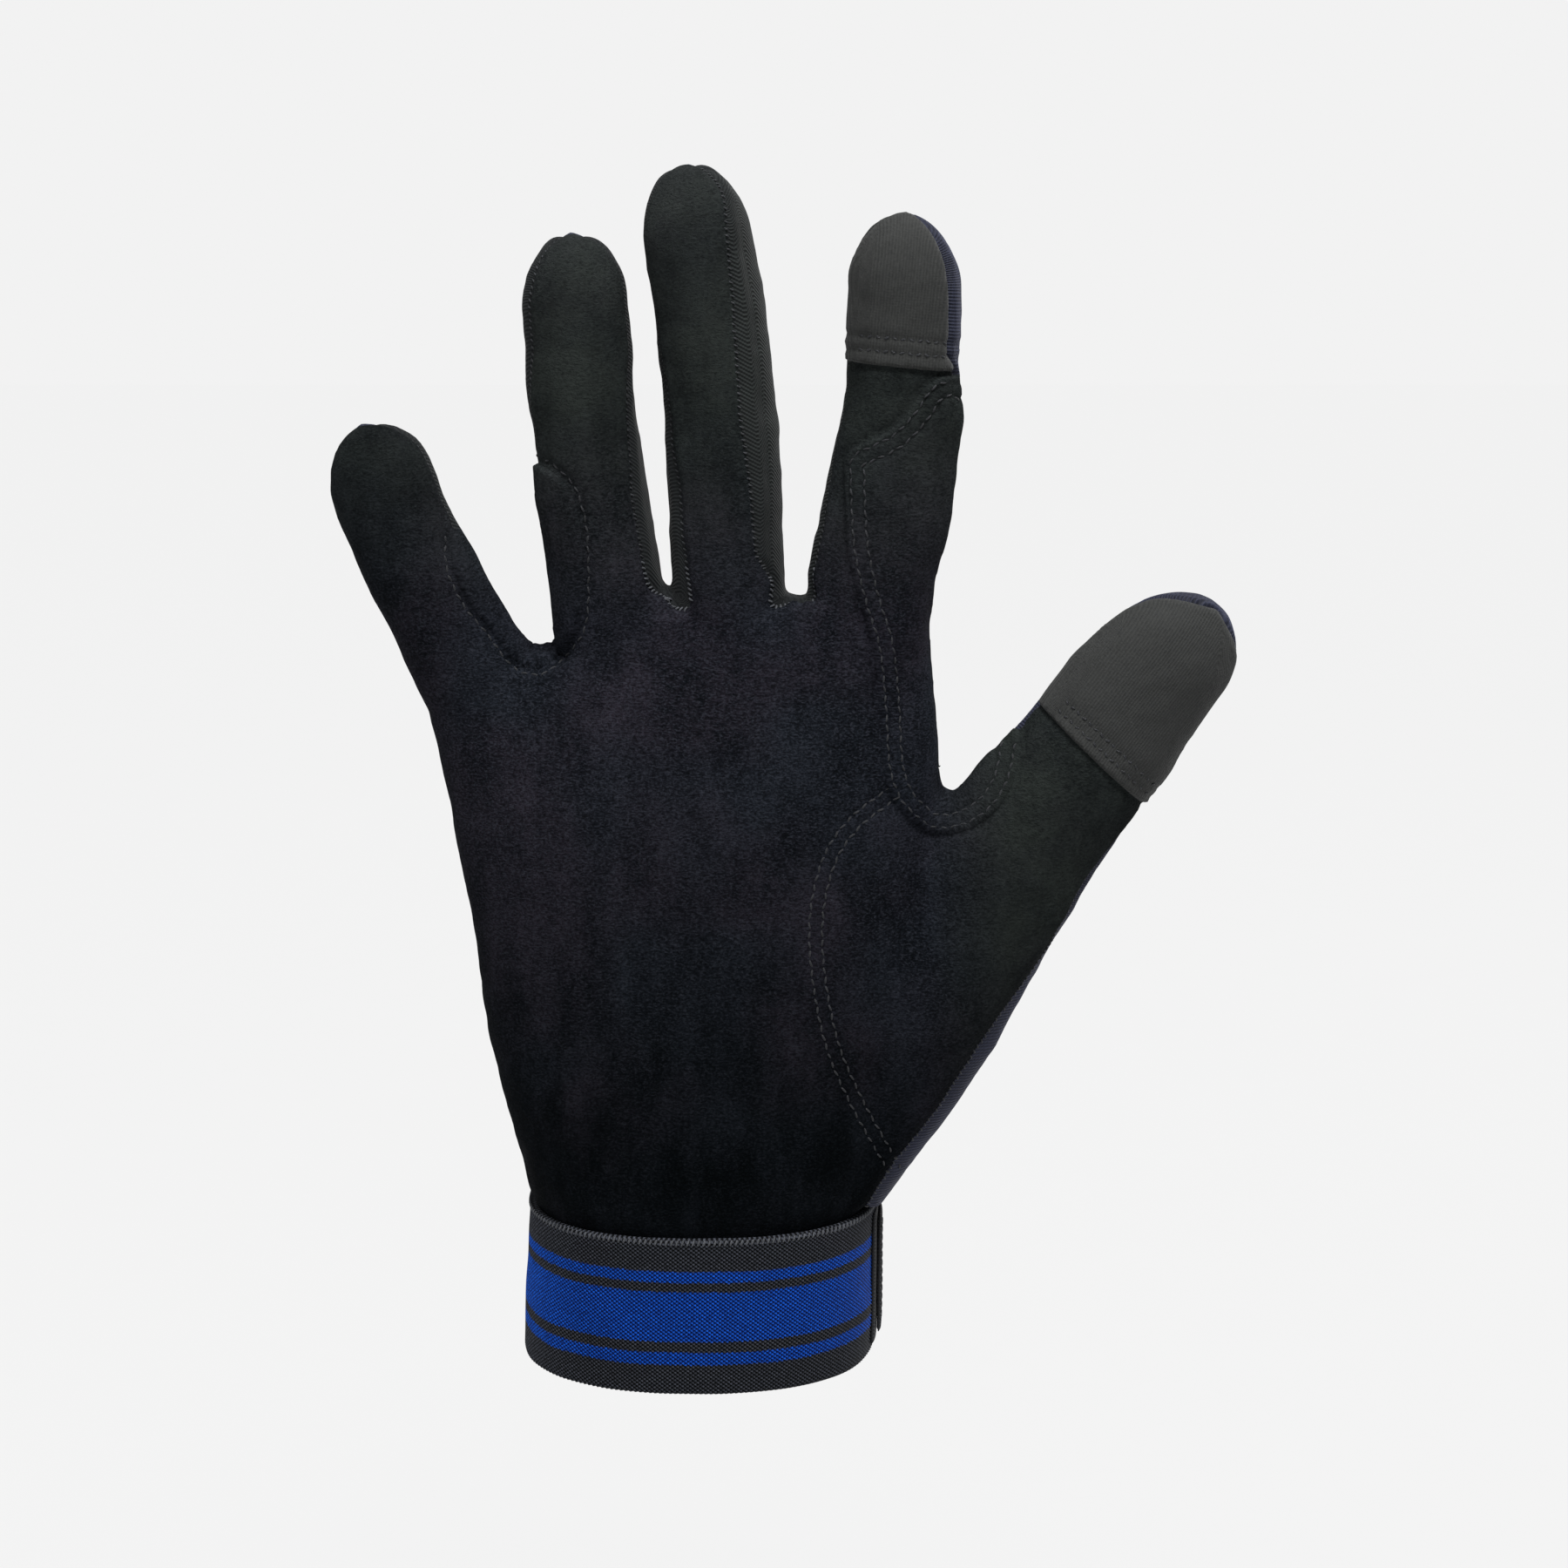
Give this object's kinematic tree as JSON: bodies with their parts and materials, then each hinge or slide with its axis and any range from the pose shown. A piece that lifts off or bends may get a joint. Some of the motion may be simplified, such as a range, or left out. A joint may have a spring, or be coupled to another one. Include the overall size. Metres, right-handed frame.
{
  "type": "thin skating glove",
  "caption": "Thin right-hand glove with a suede palm, a stretch back, bending fingers and thumb, an elastic cuff and a hook-and-loop wrist tab.",
  "frame": {"origin": "centre of the wrist opening, in the plane of the cuff's lower rim", "axes": "+Z from the wrist opening to the fingertips, -Y out of the palm, +X towards the thumb"},
  "size_m": [0.1736, 0.0553, 0.2347],
  "materials": {
    "palm_suede": "matt synthetic suede",
    "back_knit": "navy stretch knit",
    "twill": "dark grey twill",
    "patch_knit": "grey coated knit",
    "woven_elastic": "woven, black with blue stripes",
    "webbing": "black woven webbing",
    "hook_and_loop": "hook and loop pile"
  },
  "bodies": {
    "palm": {"hand_palm_panel": "palm_suede", "hand_back_panel": "back_knit", "web_fourchettes": "twill", "elastic_band": "woven_elastic", "back_cuff": "back_knit", "cuff_binding": "webbing", "tab_anchor": "webbing", "loop_patch": "hook_and_loop", "index_thumb_reinforcement": "palm_suede", "ring_little_reinforcement": "palm_suede", "index_root_gusset": "back_knit", "middle_root_gusset": "back_knit", "ring_root_gusset": "back_knit", "little_root_gusset": "back_knit", "thumb_root_gusset": "back_knit"},
    "index_proximal": {"index_palm_proximal": "palm_suede", "index_back_proximal": "back_knit", "index_fourchettes_proximal": "twill", "index_mid_gusset": "back_knit", "index_reinforcement": "palm_suede"},
    "index_distal": {"index_palm_distal": "palm_suede", "index_back_distal": "back_knit", "index_fourchettes_distal": "twill", "index_tip_patch": "patch_knit"},
    "middle_proximal": {"middle_palm_proximal": "palm_suede", "middle_back_proximal": "back_knit", "middle_fourchettes_proximal": "twill", "middle_mid_gusset": "back_knit"},
    "middle_distal": {"middle_palm_distal": "palm_suede", "middle_back_distal": "back_knit", "middle_fourchettes_distal": "twill"},
    "ring_proximal": {"ring_palm_proximal": "palm_suede", "ring_back_proximal": "back_knit", "ring_fourchettes_proximal": "twill", "ring_mid_gusset": "back_knit", "ring_reinforcement": "palm_suede"},
    "ring_distal": {"ring_palm_distal": "palm_suede", "ring_back_distal": "back_knit", "ring_fourchettes_distal": "twill"},
    "little_proximal": {"little_palm_proximal": "palm_suede", "little_back_proximal": "back_knit", "little_fourchettes_proximal": "twill", "little_mid_gusset": "back_knit"},
    "little_distal": {"little_palm_distal": "palm_suede", "little_back_distal": "back_knit", "little_fourchettes_distal": "twill"},
    "thumb_proximal": {"thumb_palm_proximal": "palm_suede", "thumb_back_proximal": "back_knit", "thumb_mid_gusset": "back_knit"},
    "thumb_distal": {"thumb_palm_distal": "palm_suede", "thumb_back_distal": "back_knit", "thumb_tip_patch": "patch_knit"},
    "closure_tab": {"closure_tab": "webbing", "hook_patch": "hook_and_loop"}
  },
  "joints": [
    {"name": "index_root", "type": "hinge", "parent": "palm", "child": "index_proximal", "pos_m": [0.03365, -0.0045, 0.16097], "axis": [0.9957, 0, -0.0924], "range_deg": [-8, 80], "stiffness_Nm_per_rad": 0.03, "deforming": ["index_root_gusset"]},
    {"name": "index_middle", "type": "hinge", "parent": "index_proximal", "child": "index_distal", "pos_m": [0.03596, -0.0045, 0.18586], "axis": [0.9957, 0, -0.0924], "range_deg": [0, 85], "stiffness_Nm_per_rad": 0.03, "deforming": ["index_mid_gusset"]},
    {"name": "middle_root", "type": "hinge", "parent": "palm", "child": "middle_proximal", "pos_m": [0.00484, -0.0045, 0.16298], "axis": [0.9968, 0, 0.0802], "range_deg": [-8, 80], "stiffness_Nm_per_rad": 0.03, "deforming": ["middle_root_gusset"]},
    {"name": "middle_middle", "type": "hinge", "parent": "middle_proximal", "child": "middle_distal", "pos_m": [0.00259, -0.0045, 0.19089], "axis": [0.9968, 0, 0.0802], "range_deg": [0, 85], "stiffness_Nm_per_rad": 0.03, "deforming": ["middle_mid_gusset"]},
    {"name": "ring_root", "type": "hinge", "parent": "palm", "child": "ring_proximal", "pos_m": [-0.01753, -0.0045, 0.16297], "axis": [0.9959, 0, 0.0906], "range_deg": [-8, 80], "stiffness_Nm_per_rad": 0.03, "deforming": ["ring_root_gusset"]},
    {"name": "ring_middle", "type": "hinge", "parent": "ring_proximal", "child": "ring_distal", "pos_m": [-0.01962, -0.0045, 0.18588], "axis": [0.9959, 0, 0.0906], "range_deg": [0, 85], "stiffness_Nm_per_rad": 0.03, "deforming": ["ring_mid_gusset"]},
    {"name": "little_root", "type": "hinge", "parent": "palm", "child": "little_proximal", "pos_m": [-0.04757, -0.0045, 0.14951], "axis": [0.9304, 0, 0.3665], "range_deg": [-8, 80], "stiffness_Nm_per_rad": 0.03, "deforming": ["little_root_gusset"]},
    {"name": "little_middle", "type": "hinge", "parent": "little_proximal", "child": "little_distal", "pos_m": [-0.0538, -0.0045, 0.16533], "axis": [0.9304, 0, 0.3665], "range_deg": [0, 85], "stiffness_Nm_per_rad": 0.03, "deforming": ["little_mid_gusset"]},
    {"name": "thumb_root", "type": "hinge", "parent": "palm", "child": "thumb_proximal", "pos_m": [0.0668, -0.0045, 0.1114], "axis": [0.7997, 0, -0.6004], "range_deg": [-8, 45], "stiffness_Nm_per_rad": 0.03, "deforming": ["thumb_root_gusset"]},
    {"name": "thumb_middle", "type": "hinge", "parent": "thumb_proximal", "child": "thumb_distal", "pos_m": [0.08001, -0.0045, 0.12899], "axis": [0.7997, 0, -0.6004], "range_deg": [0, 60], "stiffness_Nm_per_rad": 0.03, "deforming": ["thumb_mid_gusset"]},
    {"name": "closure_tab_hinge", "type": "hinge", "parent": "palm", "child": "closure_tab", "pos_m": [0.03855, 0.005, 0.0165], "axis": [0, 0, -1], "range_deg": [0, 100]}
  ]
}
